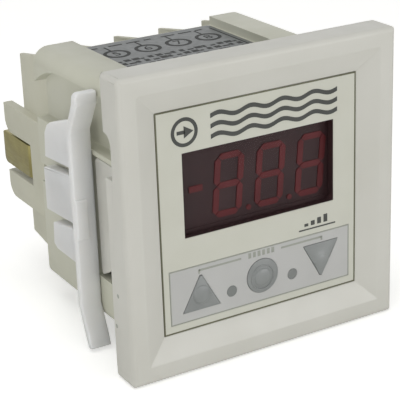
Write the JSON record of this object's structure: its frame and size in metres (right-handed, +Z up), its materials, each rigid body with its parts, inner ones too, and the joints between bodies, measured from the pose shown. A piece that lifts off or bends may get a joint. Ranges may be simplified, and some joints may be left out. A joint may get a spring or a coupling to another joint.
{
  "type": "digital flow switch",
  "caption": "Square panel-mounted display unit of a flow switch: sunk front with red digit window and arrow keys, grey housing, screw terminals behind and sliding side brackets.",
  "frame": {"origin": "centre of the bezel's back face, which seats on the panel", "axes": "the face looks along -Y, +Y runs back through the panel, +Z is up and +X is to the right as the face is seen"},
  "size_m": [0.06, 0.0679, 0.06],
  "materials": {
    "case_plastic": "satin",
    "sheet": "satin",
    "key_sheet": "satin",
    "lens": "gloss",
    "key_plastic": "satin",
    "black_plastic": "satin",
    "white_plastic": "satin",
    "clear_plastic": "gloss",
    "lamp_plastic": "gloss",
    "segments": "gloss",
    "board": "satin",
    "board_metal": "satin",
    "brass": "satin",
    "housing_plastic": "satin",
    "block_plastic": "satin",
    "screw_metal": "satin",
    "bracket_plastic": "satin"
  },
  "bodies": {
    "unit": {"front_case": "case_plastic", "front_sheet": "sheet", "key_film": "key_sheet", "window_lens": "lens", "switch_up": "black_plastic", "switch_set": "black_plastic", "switch_down": "black_plastic", "light_pipe_left": "clear_plastic", "light_pipe_right": "clear_plastic", "lamp_left": "lamp_plastic", "lamp_right": "lamp_plastic", "display_module": "black_plastic", "display_segments": "segments", "front_board": "board", "board_screws": "board_metal", "board_pillars": "brass", "board_link": "black_plastic", "main_board": "board", "controller_chip": "black_plastic", "smoothing_capacitor": "black_plastic", "output_transistors": "black_plastic", "housing": "housing_plastic", "terminal_block": "block_plastic", "terminal_upper_1": "brass", "terminal_upper_2": "brass", "terminal_upper_3": "brass", "terminal_upper_4": "brass", "terminal_lower_1": "brass", "terminal_lower_2": "brass", "terminal_lower_3": "brass", "terminal_lower_4": "brass", "terminal_washers": "screw_metal", "terminal_screws": "screw_metal"},
    "up_key": {"key_up": "key_plastic", "plunger_up": "white_plastic"},
    "set_key": {"key_set": "key_plastic", "plunger_set": "white_plastic"},
    "down_key": {"key_down": "key_plastic", "plunger_down": "white_plastic"},
    "left_bracket": {"bracket_left": "bracket_plastic"},
    "right_bracket": {"bracket_right": "bracket_plastic"}
  },
  "joints": [
    {"name": "up_key_press", "type": "slide", "parent": "unit", "child": "up_key", "axis": [0, 1, 0], "range_m": [0, 0.0004], "stiffness_N_per_m": 600, "springref_m": -0.0004},
    {"name": "set_key_press", "type": "slide", "parent": "unit", "child": "set_key", "axis": [0, 1, 0], "range_m": [0, 0.0004], "stiffness_N_per_m": 600, "springref_m": -0.0004},
    {"name": "down_key_press", "type": "slide", "parent": "unit", "child": "down_key", "axis": [0, 1, 0], "range_m": [0, 0.0004], "stiffness_N_per_m": 600, "springref_m": -0.0004},
    {"name": "left_bracket_slide", "type": "slide", "parent": "unit", "child": "left_bracket", "axis": [0, 1, 0], "range_m": [-0.0095, 0.007]},
    {"name": "right_bracket_slide", "type": "slide", "parent": "unit", "child": "right_bracket", "axis": [0, 1, 0], "range_m": [-0.0095, 0.007]}
  ]
}
